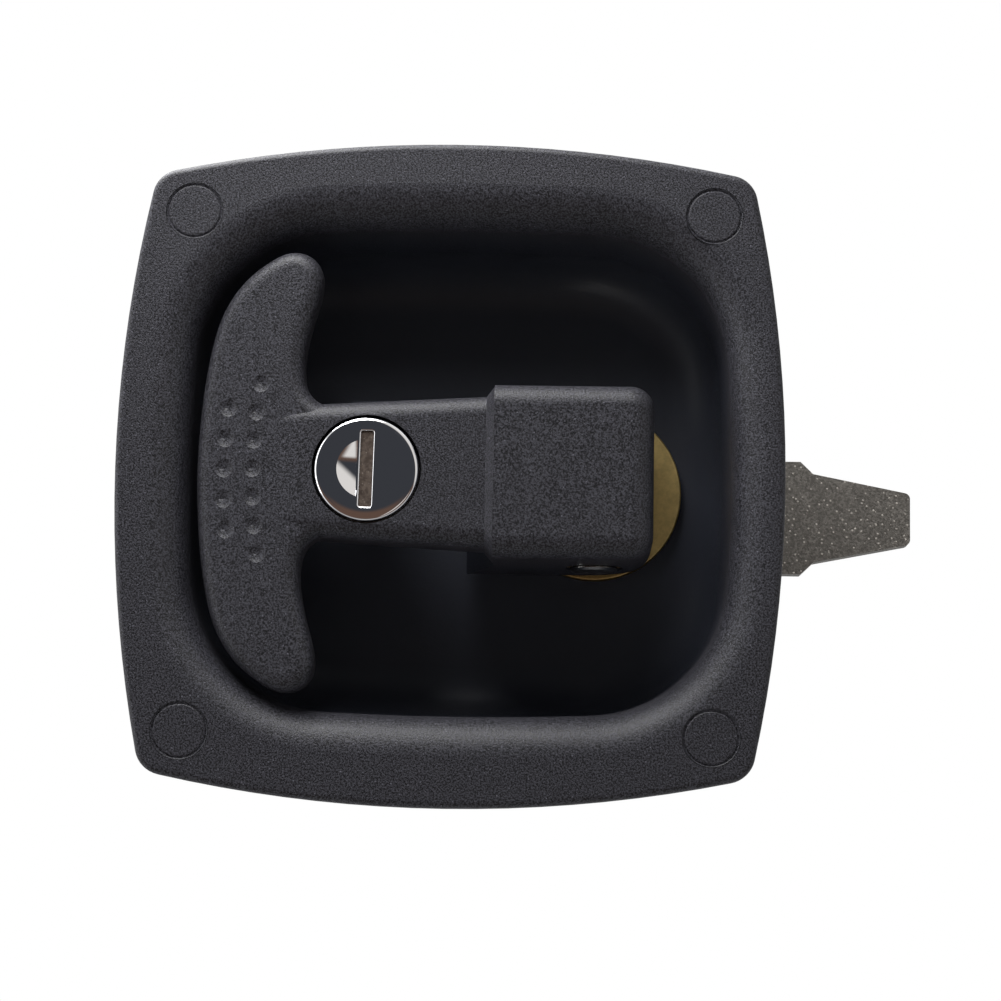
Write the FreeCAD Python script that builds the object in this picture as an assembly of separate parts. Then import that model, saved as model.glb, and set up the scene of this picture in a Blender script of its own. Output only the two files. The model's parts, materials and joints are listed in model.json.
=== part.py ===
"""Flush T-handle compression latch, as fitted to an upright door.

The latch is modelled face up on the bench: x to the right, y up the door, z out of the door, with
z = 0 on the door skin. Every piece is stood up on export, so that +Z is up and the face looks along -Y.
"""
import FreeCAD
import Part
import math
import os

V = FreeCAD.Vector

# The handle's line, from the grip's outer edge over the lock to the spindle
LOCK_FROM_GRIP = 30.75
LOCK_TO_SPINDLE = 40.9
GRIP_HALF = 39.7

# Recess that the folded handle lies in
RECESS_X = 1.7
RECESS_Y = 0.9
GRIP_SIDE_GAP = 1.93
GRIP_END_GAP = 5.0
SPINDLE_INSET = 24.8
RECESS_SIDE_BOW = 3.3
RECESS_END_BOW = 2.0
RECESS_CORNER_R = 25.5
RECESS_DEPTH = 30.0
RECESS_DRAFT = 3.0
RIM_R = 7.4
FLOOR_R = 10.0
WALL = 2.6

# Flange and gasket
RIM_SIDE = 10.81
RIM_END = 15.3
FLANGE_BOW = 6.0
FLANGE_CORNER_R = 5.2
FLANGE_T = 3.0
FLANGE_EDGE_R = 1.2
GASKET_T = 1.5
GASKET_INSET = 0.8
GASKET_GAP = 0.3

# Studs, pressed in flush from the front
STUD_INSET = 13.0
STUD_R = 3.0
STUD_NECK_R = 3.6
STUD_LENGTH = 26.5
STUD_END_CHAMFER = 0.6
STUD_HEAD_R = 5.1
STUD_HEAD_T = 2.0
STUD_FIT = 0.1

# Spindle, its bush, its seal and the brass washer under the hub
PAD_INSET = 0.4
PAD_H = 1.0
WASHER_R = 16.3
WASHER_T = 2.0
WASHER_EDGE_R = 0.35
JOURNAL_R = 7.0
RUNNING_FIT = 0.04
WASHER_CLEARANCE = 0.25
TONGUE_T = 10.0
BUSH_WALL = 1.96
BUSH_LENGTH = 6.3
PRESS_CLEARANCE = 0.02
BOSS_WALL = 4.0
BOSS_LENGTH = 5.9
BOSS_LIP = 1.2
LIP_CLEARANCE = 0.4
SEAL_SECTION_R = 0.9
SEAL_GAP = 0.1

# Pin and hub
PIN_R = 4.3
PIN_HEIGHT = 14.5
PIN_PROUD = 0.65
PIN_CHAMFER = 0.4
PIN_BUSH_WALL = 0.87
PIN_BUSH_INSET = 0.4
PIN_RUNNING_FIT = 0.03
TRAVEL = 4.0
FOLD_ANGLE = 90.0
HEEL_GAP = 0.1
HEEL_STEPS = 8
SLOT_CLEARANCE = 0.15
TONGUE_CLEARANCE = 0.3
HUB_WIDTH = 31.2
HUB_DRAFT = 0.5
HUB_LENGTH_LEFT = 18.2
HUB_TOP = 15.8
HUB_CORNER_R = 4.2
HUB_EDGE_R = 3.9
FOOT_LENGTH = 23.5
FOOT_TOE = 3.0
FOOT_ROOT = 2.0
COLLAR_LENGTH = 1.6
COLLAR_SINK = 0.2

# Stem and whale-tail grip of the handle
STEM_STEP = 2.4
STEM_T = 8.6
STEM_HALF_ROOT = 13.9
STEM_HALF_NECK = 12.2
STEM_EDGE_R = 3.4
STEM_SINK_R = 38.0
STEM_SINK_RUN = 11.0
NECK_FROM_GRIP = 24.07
NECK_TUCK = 0.5
BEND_FROM_GRIP = 21.57
GRIP_WIDTH = 22.07
GRIP_SET = 0.4
GRIP_BEND_R = 100.0
GRIP_EDGE_R = 2.9
# Half of the whale tail, from neck round to crown, as shares of the grip's width and of its lobe.
GRIP_LOBE = [
    (0.907, 0.073),
    (0.866, 0.205),
    (0.880, 0.378),
    (0.937, 0.575),
    (0.992, 0.750),
    (0.983, 0.895),
    (0.865, 0.989),
    (0.710, 1.000),
    (0.560, 0.943),
    (0.388, 0.835),
    (0.190, 0.607),
    (0.089, 0.338),
    (0.028, -0.007),
]
DIMPLE_R = 1.55
DIMPLE_DEPTH = 0.35
DIMPLE_COUNTS = (5, 7)
DIMPLE_INSETS = (4.6, 9.97)
DIMPLE_PITCHES = (5.5, 5.13)
DIMPLE_ARC_R = 100.0

# Lock
LOCK_FACE_R = 9.45
LOCK_FACE_PROUD = 0.4
LOCK_FACE_EDGE_R = 0.8
LOCK_SEAT_DEPTH = 2.8
LOCK_SEAT_GAP = 0.35
LOCK_HEAD_T = 1.0
LOCK_CAP_T = 1.5
LOCK_CAP_WALL = 0.8
LOCK_FIT = 0.05
LOCK_BARREL_R = 7.95
LOCK_BARREL_DEPTH = 19.0
LOCK_PLUG_R = 5.5
LOCK_BOSS_WALL = 4.05
LOCK_BOSS_DEPTH = 14.9
LOCK_BOSS_EDGE_R = 1.8
LOCK_NUT_AF = 19.0
LOCK_NUT_T = 3.2
KEY_SLOT_W = 2.3
KEY_SLOT_H = 13.7
KEY_SLOT_BEVEL = 0.28
KEY_SLOT_LEAN = 1.1
SHUTTER_T = 0.6
SHUTTER_SINK = 0.45
SHUTTER_GAP = 0.08
SCOOP_R = 5.3
SCOOP_DEPTH = 1.1
SCOOP_WALL = 0.15
KEYWAY_W = 2.0
KEYWAY_H = 8.0
KEYWAY_DEPTH = 13.3
WAFER_COUNT = 4
WAFER_T = 0.9
WAFER_PITCH = 2.2
WAFER_START = 1.0
WAFER_HALF_W = 2.4
WAFER_INSET = 0.9
TAIL_SQUARE = 6.0
CAM_T = 2.0
CAM_HUB_R = 5.5
CAM_REACH = 12.5
CAM_WIDTH = 8.0
CAM_GAP = 0.2
CAM_WASHER_R = 4.6
CAM_WASHER_T = 0.8
CAM_SCREW_R = 1.75
CAM_SCREW_LENGTH = 7.5
CAM_SCREW_HEAD_R = 3.2
CAM_SCREW_HEAD_T = 1.8
CAM_SCREW_EDGE_R = 0.65
CAM_SCREW_SLOT_W = 0.8
CAM_SCREW_SLOT_DEPTH = 1.0

# Keeper that the lock cam swings under
KEEPER_WIDTH = 8.0
KEEPER_PILLAR = 2.3
KEEPER_LIP_T = 1.4
KEEPER_LIP_GAP = 0.4
KEEPER_ENGAGE = 2.3
KEEPER_CLEARANCE = 0.5

# Rear stack on the spindle, from the boss inwards
SPRING_LENGTH = 7.0
SPRING_WIRE_R = 0.7
SPRING_CLEARANCE = 2.6
SPRING_PITCH = 2.2
SPRING_END_GAP = 0.05
SPRING_WASHER_T = 1.2
SPRING_WASHER_RIM = 1.5
CIRCLIP_T = 1.0
CIRCLIP_WALL = 2.6
CIRCLIP_DEPTH = 0.7
CIRCLIP_GAP = 5.0
SHOULDER_STEP = 0.6
THREAD_R = 6.0
THREAD_FLATS = 9.0
FLAT_FIT = 0.05
STOP_T = 2.5
STOP_R = 11.5
STOP_TAB_SHORT = 1.0
STOP_TAB_W = 8.0
LUG_CLEARANCE = 1.5
LUG_T = 4.5
LUG_ARC = 24.0
LUG_PLAY = 1.0
LUG_PAST_STOP = 0.2
TURN_ANGLE = 90.0
NUT_AF = 19.0
NUT_CORNER_CHAMFER = 1.0
FRONT_NUT_T = 5.7
REAR_NUT_T = 7.5
PAWL_T = 4.0
PAWL_END_R = 13.0
PAWL_HALF_W = 11.15
PAWL_NECK_HALF_W = 8.75
PAWL_TIP_HALF_W = 5.0
PAWL_SHOULDER = 40.9
PAWL_NECK = 43.4
PAWL_REACH = 62.4
PAWL_TIP_R = 1.2
LOCK_WASHER_T = 1.5
LOCK_WASHER_R = 9.5
LOCK_WASHER_SPLIT = 0.8
LOCK_WASHER_SPLIT_ANGLE = 60.0
TAIL_PROUD = 3.0

# How far a cutting shape runs past the face that it cuts, and how near counts as level
OVERRUN = 1.0
NEAR = 1e-4

# Places across the face that follow from the sizes above
HANDLE_REACH = LOCK_FROM_GRIP + LOCK_TO_SPINDLE
RECESS_HALF_X = (GRIP_SIDE_GAP + HANDLE_REACH + SPINDLE_INSET) / 2
RECESS_HALF_Y = GRIP_HALF + GRIP_END_GAP
FLANGE_HALF_X = RECESS_HALF_X + RIM_SIDE
FLANGE_HALF_Y = RECESS_HALF_Y + RIM_END
GRIP_X = RECESS_X - RECESS_HALF_X + GRIP_SIDE_GAP
LOCK_X = GRIP_X + LOCK_FROM_GRIP
SPINDLE_X = LOCK_X + LOCK_TO_SPINDLE
NECK_X = GRIP_X + NECK_FROM_GRIP
BEND_X = GRIP_X + BEND_FROM_GRIP
HUB_LEFT = SPINDLE_X - HUB_LENGTH_LEFT

# Levels along z that follow from the sizes above
FRONT = GASKET_T + FLANGE_T
FLOOR = FRONT - RECESS_DEPTH
FLOOR_BACK = FLOOR - WALL
PAD_TOP = FLOOR + PAD_H
WASHER_TOP = PAD_TOP + WASHER_T
BOSS_END = FLOOR_BACK - BOSS_LENGTH
PIN_Z = WASHER_TOP + PIN_HEIGHT
HUB_TOP_Z = PIN_Z + HUB_TOP
STEM_TOP = HUB_TOP_Z - STEM_STEP
SPRING_END = BOSS_END - SPRING_LENGTH
CIRCLIP_TOP = SPRING_END - SPRING_WASHER_T
SHOULDER = CIRCLIP_TOP - CIRCLIP_T - SHOULDER_STEP
STOP_END = SHOULDER - STOP_T
PAWL_TOP = STOP_END - FRONT_NUT_T
PAWL_BACK = PAWL_TOP - PAWL_T
REAR_NUT_TOP = PAWL_BACK - LOCK_WASHER_T
REAR_NUT_END = REAR_NUT_TOP - REAR_NUT_T
SPINDLE_END = REAR_NUT_END - TAIL_PROUD
LOCK_FACE = STEM_TOP + LOCK_FACE_PROUD
LOCK_SEAT = STEM_TOP - LOCK_SEAT_DEPTH
LOCK_HEAD_TOP = LOCK_SEAT + LOCK_HEAD_T
LOCK_CAP_LOW = LOCK_HEAD_TOP + LOCK_FIT
LOCK_CAP_INSIDE = LOCK_FACE - LOCK_CAP_T
LOCK_BARREL_END = STEM_TOP - LOCK_BARREL_DEPTH
LOCK_BOSS_END = STEM_TOP - LOCK_BOSS_DEPTH
KEYWAY_END = LOCK_FACE - KEYWAY_DEPTH
CAM_TOP = LOCK_BARREL_END - CAM_GAP
CAM_END = CAM_TOP - CAM_T
CAM_SCREW_SEAT = CAM_END - CAM_WASHER_T

# Radii that follow from the sizes above
PAD_R = WASHER_R - PAD_INSET
BUSH_R = JOURNAL_R + RUNNING_FIT + BUSH_WALL
BOSS_R = BUSH_R + BOSS_WALL
PIN_BUSH_R = PIN_R + PIN_RUNNING_FIT + PIN_BUSH_WALL
SPRING_R = JOURNAL_R + SPRING_CLEARANCE + SPRING_WIRE_R
SPRING_WASHER_R = SPRING_R + SPRING_WIRE_R + SPRING_WASHER_RIM
LUG_INNER_R = SPRING_WASHER_R + LUG_CLEARANCE
LUG_OUTER_R = LUG_INNER_R + LUG_T
STOP_TAB_R = LUG_OUTER_R - STOP_TAB_SHORT
LOCK_BOSS_R = LOCK_BARREL_R + LOCK_BOSS_WALL
WAFER_HALF_H = LOCK_PLUG_R - WAFER_INSET


def box(x0, x1, y0, y1, z0, z1):
    return Part.makeBox(x1 - x0, y1 - y0, z1 - z0, V(x0, y0, z0))


def rod(radius, z0, z1, x=0.0, y=0.0):
    low, high = min(z0, z1), max(z0, z1)
    return Part.makeCylinder(radius, high - low, V(x, y, low))


def ring(outer, inner, z0, z1, x=0.0, y=0.0):
    low, high = min(z0, z1), max(z0, z1)
    return rod(outer, low, high, x, y).cut(rod(inner, low - OVERRUN, high + OVERRUN, x, y))


def cross_rod(radius, half_length, x, z):
    """A round bar along y, centred on the handle's mid-plane."""
    return Part.makeCylinder(radius, 2 * half_length, V(x, -half_length, z), V(0, 1, 0))


def prism(wire, height):
    return Part.Face(wire).extrude(V(0, 0, height))


def side_slab(edges, half_width):
    """A closed side view, drawn at y = 0, widened evenly to both sides."""
    slab = Part.Face(Part.Wire(edges)).extrude(V(0, 2 * half_width, 0))
    slab.translate(V(0, -half_width, 0))
    return slab


def edges_at(shape, z):
    """The edges that lie in the level plane z."""
    found = []
    for edge in shape.Edges:
        bounds = edge.BoundBox
        if abs(bounds.ZMin - z) < NEAR and abs(bounds.ZMax - z) < NEAR:
            found.append(edge)
    return found


def cap_ball(radius, depth, x, y, z):
    """The ball that presses a dent of this radius and depth into the level z."""
    ball_r = (radius ** 2 + depth ** 2) / (2 * depth)
    return Part.makeSphere(ball_r, V(x, y, z + ball_r - depth))


def bowed_outline(half_x, half_y, side_bow, end_bow, corner_r, z, cx=0.0, cy=0.0):
    """A rectangle with bowed sides: four long arcs joined by tangent corner arcs."""
    side_r = ((half_y - end_bow) ** 2 + side_bow ** 2) / (2 * side_bow)
    top_r = ((half_x - side_bow) ** 2 + end_bow ** 2) / (2 * end_bow)
    side_x = half_x - side_r
    top_y = half_y - top_r
    # The corner arc's centre is where two circles, drawn corner_r inside the long arcs, cross.
    a, b = side_r - corner_r, top_r - corner_r
    gap = math.hypot(side_x, top_y)
    along = (a * a - b * b + gap * gap) / (2 * gap)
    off = math.sqrt(a * a - along * along)
    ux, uy = -side_x / gap, top_y / gap
    corner = V(side_x + along * ux - off * uy, along * uy + off * ux, 0)
    to_side = (corner - V(side_x, 0, 0)).normalize()
    to_top = (corner - V(0, top_y, 0)).normalize()
    on_side = corner + to_side * corner_r
    on_top = corner + to_top * corner_r
    middle = corner + (to_side + to_top).normalize() * corner_r

    def place(point, sx, sy):
        return V(cx + sx * point.x, cy + sy * point.y, z)

    def arc(p, q, r):
        return Part.Arc(p, q, r).toShape()

    side_mid, top_mid = V(half_x, 0, 0), V(0, half_y, 0)
    edges = [
        arc(place(on_side, 1, -1), place(side_mid, 1, 1), place(on_side, 1, 1)),
        arc(place(on_side, 1, 1), place(middle, 1, 1), place(on_top, 1, 1)),
        arc(place(on_top, 1, 1), place(top_mid, 1, 1), place(on_top, -1, 1)),
        arc(place(on_top, -1, 1), place(middle, -1, 1), place(on_side, -1, 1)),
        arc(place(on_side, -1, 1), place(side_mid, -1, 1), place(on_side, -1, -1)),
        arc(place(on_side, -1, -1), place(middle, -1, -1), place(on_top, -1, -1)),
        arc(place(on_top, -1, -1), place(top_mid, 1, -1), place(on_top, 1, -1)),
        arc(place(on_top, 1, -1), place(middle, 1, -1), place(on_side, 1, -1)),
    ]
    return Part.Wire(edges)


def recess_outline(grow, z):
    return bowed_outline(RECESS_HALF_X + grow, RECESS_HALF_Y + grow, RECESS_SIDE_BOW, RECESS_END_BOW,
                         RECESS_CORNER_R + grow, z, RECESS_X, RECESS_Y)


def flange_outline(inset, z):
    return bowed_outline(FLANGE_HALF_X - inset, FLANGE_HALF_Y - inset, FLANGE_BOW, FLANGE_BOW,
                         FLANGE_CORNER_R - inset, z)


def recess_form(growth, z_top, z_low, low_r):
    """The drafted bowl of the recess, grown outwards, with its lower edge rounded."""
    slope = math.tan(math.radians(RECESS_DRAFT))
    wires = []
    for z in (z_top, z_low):
        grow = growth - (FRONT - z) * slope
        wires.append(recess_outline(grow, z))
    form = Part.makeLoft(wires, True, True)
    return form.makeFillet(low_r, edges_at(form, z_low))


def stud_places():
    half_x, half_y = FLANGE_HALF_X - STUD_INSET, FLANGE_HALF_Y - STUD_INSET
    return [(sx * half_x, sy * half_y) for sx in (-1, 1) for sy in (-1, 1)]


def sector(inner, outer, z0, z1, start, sweep):
    """Part of a ring about the spindle, from an angle of start degrees through sweep degrees."""
    wedge = Part.makeCylinder(outer, z1 - z0, V(0, 0, z0), V(0, 0, 1), sweep)
    wedge = wedge.cut(rod(inner, z0 - OVERRUN, z1 + OVERRUN))
    wedge.rotate(V(0, 0, 0), V(0, 0, 1), start)
    wedge.translate(V(SPINDLE_X, 0, 0))
    return wedge


def stop_lugs():
    """Two lugs on the dish's back that the stop plate's tab meets at each end of its turn."""
    tab_angle = math.degrees(math.asin(STOP_TAB_W / 2 / LUG_INNER_R)) + LUG_PLAY
    low = STOP_END - LUG_PAST_STOP - TRAVEL
    rest, turned = 180.0, 180.0 - TURN_ANGLE
    first = sector(LUG_INNER_R, LUG_OUTER_R, low, FLOOR, rest + tab_angle, LUG_ARC)
    second = sector(LUG_INNER_R, LUG_OUTER_R, low, FLOOR, turned - tab_angle - LUG_ARC, LUG_ARC)
    return first.fuse(second)


def keeper():
    """The hooked pillar on the recess floor that holds the turned lock cam down."""
    face = CAM_REACH + KEEPER_CLEARANCE
    lip_low = CAM_TOP + KEEPER_LIP_GAP
    lip_high = lip_low + KEEPER_LIP_T
    x0, x1 = LOCK_X - KEEPER_WIDTH / 2, LOCK_X + KEEPER_WIDTH / 2
    pillar = box(x0, x1, face, face + KEEPER_PILLAR, FLOOR - WALL / 2, lip_high)
    lip = box(x0, x1, CAM_REACH - KEEPER_ENGAGE, face, lip_low, lip_high)
    return pillar.fuse(lip)


def dish_housing():
    flange = prism(flange_outline(0.0, GASKET_T), FLANGE_T)
    flange = flange.makeFillet(FLANGE_EDGE_R, edges_at(flange, FRONT))
    pan = recess_form(WALL, GASKET_T + FLANGE_T / 2, FLOOR_BACK, FLOOR_R + WALL)
    recess = recess_form(0.0, FRONT, FLOOR, FLOOR_R)
    dish = flange.fuse(pan).cut(recess)
    face = max((f for f in dish.Faces if abs(f.BoundBox.ZMin - FRONT) < NEAR), key=lambda f: f.Area)
    rim = [e for w in face.Wires if not w.isSame(face.OuterWire) for e in w.Edges]
    dish = dish.makeFillet(RIM_R, rim)
    pad = rod(PAD_R, FLOOR - WALL / 2, PAD_TOP, SPINDLE_X)
    boss = rod(BOSS_R, BOSS_END, FLOOR, SPINDLE_X)
    dish = dish.fuse([pad, boss, stop_lugs(), keeper()])
    dish = dish.cut(rod(WASHER_R + GASKET_GAP, PAD_TOP, WASHER_TOP + FLOOR_R, SPINDLE_X))
    dish = dish.cut(rod(BUSH_R + PRESS_CLEARANCE, BOSS_END + BOSS_LIP, PAD_TOP + OVERRUN, SPINDLE_X))
    dish = dish.cut(rod(JOURNAL_R + LIP_CLEARANCE, BOSS_END - OVERRUN, PAD_TOP, SPINDLE_X))
    for x, y in stud_places():
        dish = dish.cut(rod(STUD_NECK_R + STUD_FIT, 0, FRONT, x, y))
        dish = dish.cut(rod(STUD_HEAD_R + STUD_FIT, FRONT - STUD_HEAD_T, FRONT + OVERRUN, x, y))
    return dish.removeSplitter()


def flange_gasket():
    sheet = prism(flange_outline(GASKET_INSET, 0.0), GASKET_T)
    sheet = sheet.cut(prism(recess_outline(WALL + GASKET_GAP, -OVERRUN), GASKET_T + 2 * OVERRUN))
    for x, y in stud_places():
        sheet = sheet.cut(rod(STUD_NECK_R + GASKET_GAP, -OVERRUN, GASKET_T + OVERRUN, x, y))
    return sheet


def mounting_studs():
    """Each stud has a flush head, a neck pressed into the flange and a plain shank for the thread."""
    studs = []
    end = FRONT - STUD_LENGTH
    for x, y in stud_places():
        head = rod(STUD_HEAD_R, FRONT - STUD_HEAD_T, FRONT, x, y)
        neck = rod(STUD_NECK_R, 0, FRONT - STUD_HEAD_T, x, y)
        shank = rod(STUD_R, end, 0, x, y)
        shank = shank.makeChamfer(STUD_END_CHAMFER, edges_at(shank, end))
        studs.append(head.fuse([neck, shank]).removeSplitter())
    return Part.makeCompound(studs)


def thrust_washer():
    washer = ring(WASHER_R, JOURNAL_R + WASHER_CLEARANCE, PAD_TOP, WASHER_TOP, SPINDLE_X)
    return washer.makeFillet(WASHER_EDGE_R, edges_at(washer, WASHER_TOP))


def spindle_bush():
    return ring(BUSH_R, JOURNAL_R + RUNNING_FIT, PAD_TOP - BUSH_LENGTH, PAD_TOP, SPINDLE_X)


def spindle_seal():
    low = BOSS_END + BOSS_LIP
    middle_r = (JOURNAL_R + BUSH_R + PRESS_CLEARANCE) / 2
    return Part.makeTorus(middle_r, SEAL_SECTION_R, V(SPINDLE_X, 0, low + SEAL_SECTION_R + SEAL_GAP))


def flatted(radius, flats, z0, z1):
    """A round bar about the spindle with two flats that face up and down the door."""
    x, reach = SPINDLE_X, radius + OVERRUN
    slab = box(x - reach, x + reach, -flats / 2, flats / 2, min(z0, z1), max(z0, z1))
    return rod(radius, z0, z1, x).common(slab)


def spindle():
    """A flatted tongue for the pin, a round journal, and a flatted tail for the nuts."""
    tongue_low = WASHER_TOP - 2 * HEEL_GAP
    tongue = flatted(JOURNAL_R, TONGUE_T, tongue_low, PIN_Z + JOURNAL_R)
    crown = cross_rod(JOURNAL_R, JOURNAL_R, SPINDLE_X, PIN_Z)
    shank = box(SPINDLE_X - JOURNAL_R, SPINDLE_X + JOURNAL_R, -JOURNAL_R, JOURNAL_R, FLOOR, PIN_Z)
    tongue = tongue.common(crown.fuse(shank))
    journal = rod(JOURNAL_R, SHOULDER, tongue_low, SPINDLE_X)
    tail = flatted(THREAD_R, THREAD_FLATS, SPINDLE_END, SHOULDER)
    body = tongue.fuse([journal, tail])
    body = body.cut(cross_rod(PIN_R, JOURNAL_R, SPINDLE_X, PIN_Z))
    groove = ring(JOURNAL_R + OVERRUN, JOURNAL_R - CIRCLIP_DEPTH, CIRCLIP_TOP - CIRCLIP_T, CIRCLIP_TOP, SPINDLE_X)
    return body.cut(groove).removeSplitter()


def hub_half_width(z):
    """Half the drafted hub's width at the level z."""
    return HUB_WIDTH / 2 + (HUB_TOP_Z - z) * math.tan(math.radians(HUB_DRAFT))


def pivot_pin():
    pin = cross_rod(PIN_R, hub_half_width(PIN_Z) + PIN_PROUD, SPINDLE_X, PIN_Z)
    ends = [e for e in pin.Edges if e.BoundBox.YLength < NEAR]
    return pin.makeChamfer(PIN_CHAMFER, ends)


def pivot_bushes():
    inner = TONGUE_T / 2 + SLOT_CLEARANCE
    length = hub_half_width(PIN_Z) - PIN_BUSH_INSET - inner
    bushes = []
    for side in (-1, 1):
        start = V(SPINDLE_X, side * inner, PIN_Z)
        bush = Part.makeCylinder(PIN_BUSH_R, length, start, V(0, side, 0))
        bore = Part.makeCylinder(PIN_R + PIN_RUNNING_FIT, length, start, V(0, side, 0))
        bushes.append(bush.cut(bore))
    return Part.makeCompound(bushes)


def return_spring():
    high = BOSS_END - SPRING_WIRE_R - SPRING_END_GAP
    height = SPRING_LENGTH - 2 * SPRING_WIRE_R - 2 * SPRING_END_GAP
    path = Part.Wire(Part.makeHelix(SPRING_PITCH, height, SPRING_R))
    rise = V(0, 2 * math.pi * SPRING_R, SPRING_PITCH)
    section = Part.Wire(Part.makeCircle(SPRING_WIRE_R, V(SPRING_R, 0, 0), rise))
    coil = path.makePipeShell([section], True, True)
    coil.translate(V(SPINDLE_X, 0, high - height))
    return coil


def spring_washer():
    return ring(SPRING_WASHER_R, JOURNAL_R + WASHER_CLEARANCE, CIRCLIP_TOP, SPRING_END, SPINDLE_X)


def spindle_circlip():
    inner = JOURNAL_R - CIRCLIP_DEPTH
    clip = ring(inner + CIRCLIP_WALL, inner, CIRCLIP_TOP - CIRCLIP_T, CIRCLIP_TOP, SPINDLE_X)
    gap = box(SPINDLE_X, SPINDLE_X + 2 * JOURNAL_R, -CIRCLIP_GAP / 2, CIRCLIP_GAP / 2, SHOULDER, SPRING_END)
    return clip.cut(gap)


def flatted_hole(z0, z1):
    return flatted(THREAD_R + FLAT_FIT, THREAD_FLATS + 2 * FLAT_FIT, z0 - OVERRUN, z1 + OVERRUN)


def stop_plate():
    disc = rod(STOP_R, STOP_END, SHOULDER, SPINDLE_X)
    tab = box(SPINDLE_X - STOP_TAB_R, SPINDLE_X, -STOP_TAB_W / 2, STOP_TAB_W / 2, STOP_END, SHOULDER)
    return disc.fuse(tab).cut(flatted_hole(STOP_END, SHOULDER)).removeSplitter()


def hex_nut(across_flats, bore, z0, z1, x):
    """A hexagon nut whose corners are turned off at both ends."""
    corner_r = across_flats / 2 / math.cos(math.pi / 6)
    points = []
    for i in range(7):
        angle = math.pi / 3 * i
        points.append(V(x + corner_r * math.cos(angle), corner_r * math.sin(angle), z0))
    blank = prism(Part.makePolygon(points), z1 - z0)
    turned = rod(corner_r, z0, z1, x)
    turned = turned.makeChamfer(NUT_CORNER_CHAMFER, edges_at(turned, z0) + edges_at(turned, z1))
    return blank.common(turned).cut(rod(bore, z0 - OVERRUN, z1 + OVERRUN, x))


def pawl_front_nut():
    return hex_nut(NUT_AF, THREAD_R + FLAT_FIT, PAWL_TOP, STOP_END, SPINDLE_X)


def pawl_nut():
    return hex_nut(NUT_AF, THREAD_R + FLAT_FIT, REAR_NUT_END, REAR_NUT_TOP, SPINDLE_X)


def pawl_lock_washer():
    """A split spring washer under the rear nut."""
    washer = ring(LOCK_WASHER_R, THREAD_R + FLAT_FIT, REAR_NUT_TOP, PAWL_BACK, SPINDLE_X)
    half = LOCK_WASHER_SPLIT / 2
    split = box(0, LOCK_WASHER_R + OVERRUN, -half, half, REAR_NUT_TOP - OVERRUN, PAWL_BACK + OVERRUN)
    split.rotate(V(0, 0, 0), V(0, 0, 1), LOCK_WASHER_SPLIT_ANGLE)
    split.translate(V(SPINDLE_X, 0, 0))
    return washer.cut(split)


def pawl():
    """A flat plate: round about the spindle, parallel, then necked down to its nose."""
    x = SPINDLE_X
    half = [
        V(x + PAWL_SHOULDER, PAWL_HALF_W, PAWL_BACK),
        V(x + PAWL_NECK, PAWL_NECK_HALF_W, PAWL_BACK),
        V(x + PAWL_REACH, PAWL_TIP_HALF_W, PAWL_BACK),
    ]
    start = V(x, PAWL_HALF_W, PAWL_BACK)
    mirrored = [V(p.x, -p.y, p.z) for p in reversed(half)]
    outline = [start] + half + mirrored + [V(x, -PAWL_HALF_W, PAWL_BACK), start]
    plate = prism(Part.makePolygon(outline), PAWL_T)
    tips = [e for e in plate.Edges if e.BoundBox.XMin > x + PAWL_REACH - NEAR and e.BoundBox.YLength < NEAR]
    plate = plate.makeFillet(PAWL_TIP_R, tips)
    eye = rod(PAWL_END_R, PAWL_BACK, PAWL_TOP, x)
    return plate.fuse(eye).cut(flatted_hole(PAWL_BACK, PAWL_TOP)).removeSplitter()


def heel_curve():
    """The hub's heel, seen along the pin, from under the pin round to its right.

    The seat stays in contact while the handle is raised, because the heel is the envelope of the seat
    plane, whose distance from the pin falls evenly by TRAVEL as the handle is raised by FOLD_ANGLE.
    """
    fall = TRAVEL / math.radians(FOLD_ANGLE)
    points = []
    for i in range(HEEL_STEPS + 1):
        turn = math.radians(FOLD_ANGLE) * i / HEEL_STEPS
        height = PIN_HEIGHT - HEEL_GAP - fall * turn
        x = height * math.sin(turn) - fall * math.cos(turn)
        z = -height * math.cos(turn) - fall * math.sin(turn)
        points.append(V(SPINDLE_X + x, 0, PIN_Z + z))
    curve = Part.BSplineCurve()
    curve.interpolate(Points=points, InitialTangent=V(1, 0, 0), FinalTangent=V(0, 0, 1), Scale=False)
    return points[0], curve.toShape(), points[-1]


def hub():
    """The drafted hub over the pin, with its heel, its foot and the slot for the tongue."""
    low, heel, side = heel_curve()
    top = HUB_TOP_Z
    toe = SPINDLE_X - FOOT_LENGTH
    corners = [
        side,
        V(side.x, 0, top),
        V(HUB_LEFT, 0, top),
        V(HUB_LEFT, 0, PIN_Z + FOOT_ROOT),
        V(toe, 0, low.z + FOOT_TOE),
        V(toe, 0, low.z),
        low,
    ]
    half_low = hub_half_width(low.z)
    block = side_slab([heel] + [Part.makeLine(a, b) for a, b in zip(corners, corners[1:])], half_low)
    x = toe - OVERRUN
    half_top = hub_half_width(top)
    section = [V(x, -half_top, top), V(x, half_top, top), V(x, half_low, low.z), V(x, -half_low, low.z)]
    drafted = Part.Face(Part.makePolygon(section + section[:1])).extrude(V(side.x - toe + 2 * OVERRUN, 0, 0))
    block = block.common(drafted)
    tall = top - PIN_Z - 2 * TRAVEL
    uprights = [e for e in block.Edges if e.BoundBox.XMin > side.x - NEAR and e.BoundBox.ZLength > tall]
    block = block.makeFillet(HUB_CORNER_R, uprights)
    rim = [e for e in edges_at(block, top) if e.BoundBox.XMax > HUB_LEFT + NEAR]
    block = block.makeFillet(HUB_EDGE_R, rim)
    return block.cut(tongue_slot()).cut(cross_rod(PIN_BUSH_R, HUB_WIDTH, SPINDLE_X, PIN_Z))


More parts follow.
